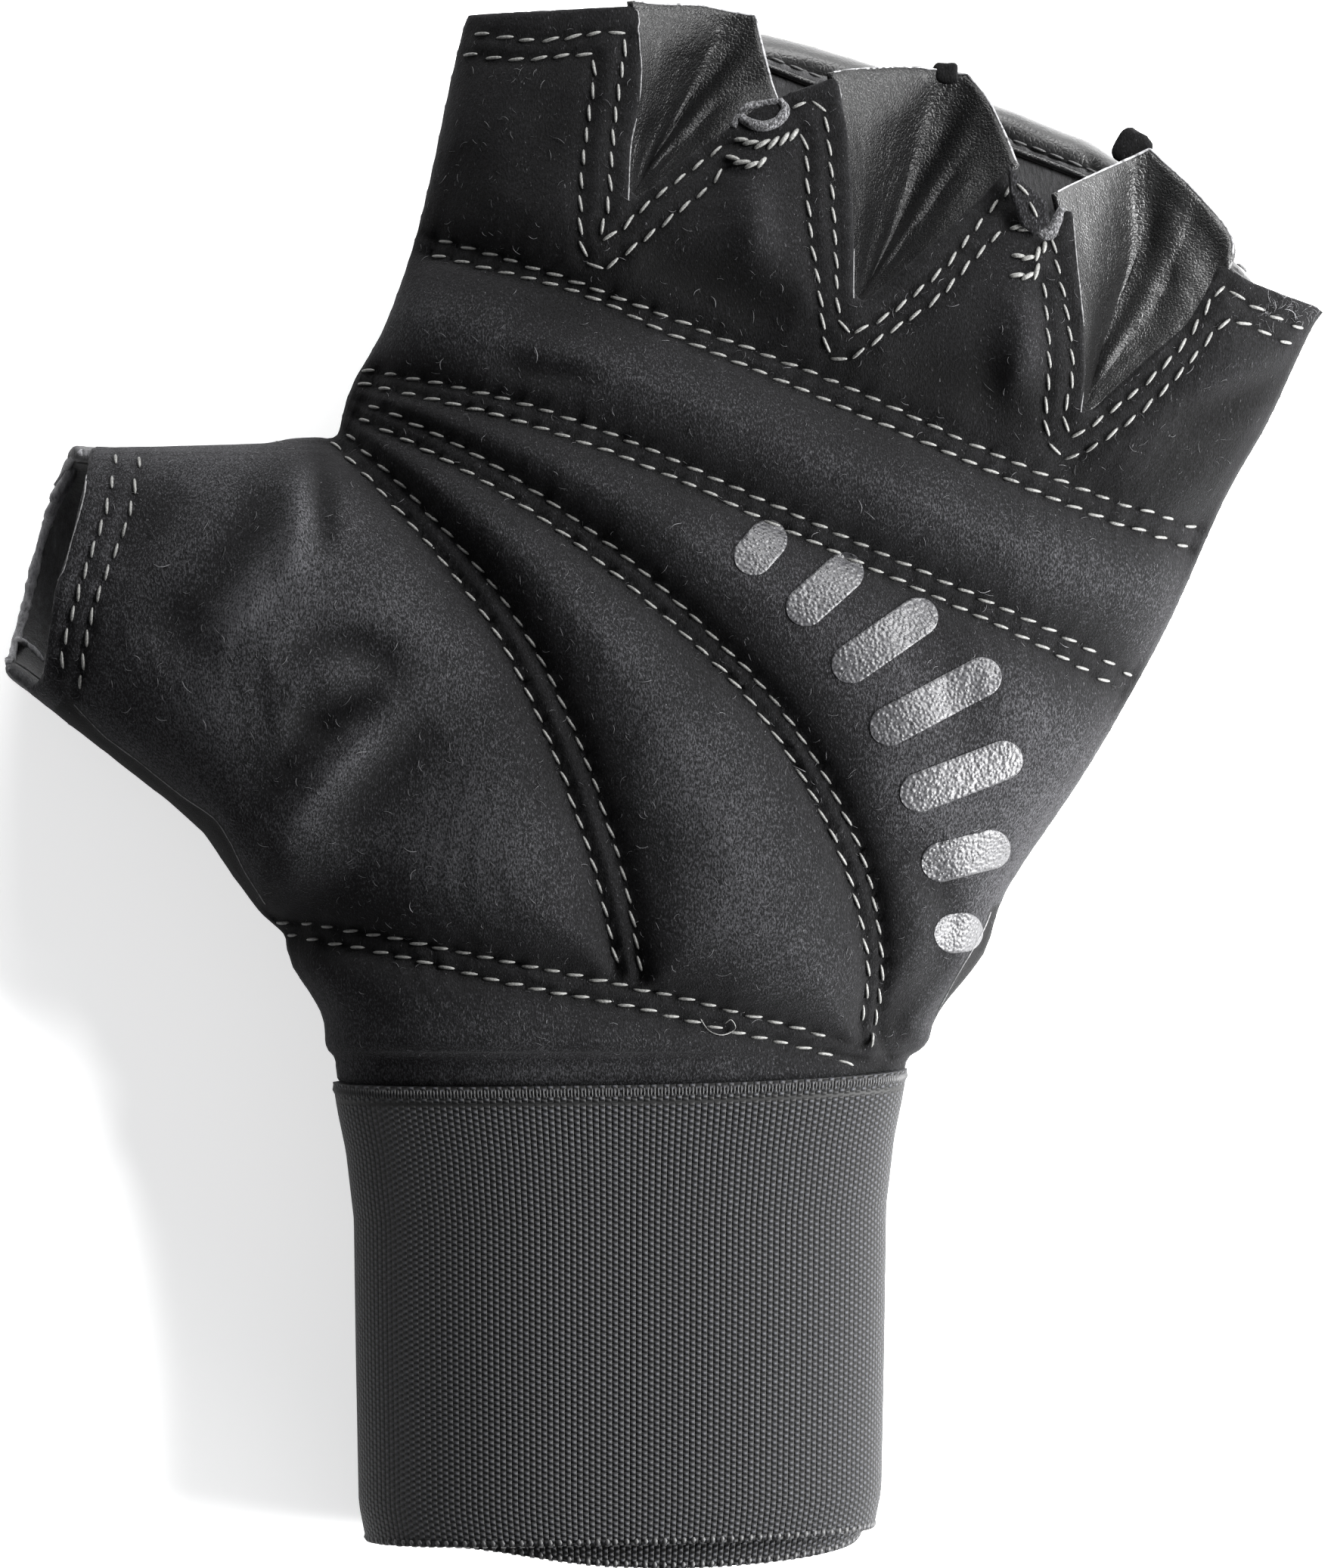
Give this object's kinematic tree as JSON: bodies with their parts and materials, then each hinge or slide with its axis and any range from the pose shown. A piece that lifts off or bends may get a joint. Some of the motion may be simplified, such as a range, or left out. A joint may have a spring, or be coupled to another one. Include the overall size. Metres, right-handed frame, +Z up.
{
  "type": "fingerless boxing glove",
  "caption": "Left-hand fingerless padded boxing glove: quilted suede palm, folded leather between the fingers, padded knuckle roll and a wound elastic wrist wrap, lying palm up.",
  "frame": {"origin": "middle of the glove's outline on the table it lies on", "axes": "+X to the little finger side, +Y from the wrist to the fingers, +Z up out of the palm"},
  "size_m": [0.1754, 0.2062, 0.042],
  "materials": {
    "suede": "brushed synthetic suede, matt",
    "leather": "pebbled, semi-gloss",
    "elastic": "woven elastic, matt"
  },
  "bodies": {
    "root": {"palm_panel": "suede", "back_panel": "leather", "knuckle_pad": "leather", "gusset_index_middle": "leather", "gusset_middle_ring": "leather", "gusset_ring_little": "leather", "wrist_wrap": "elastic"}
  },
  "joints": []
}
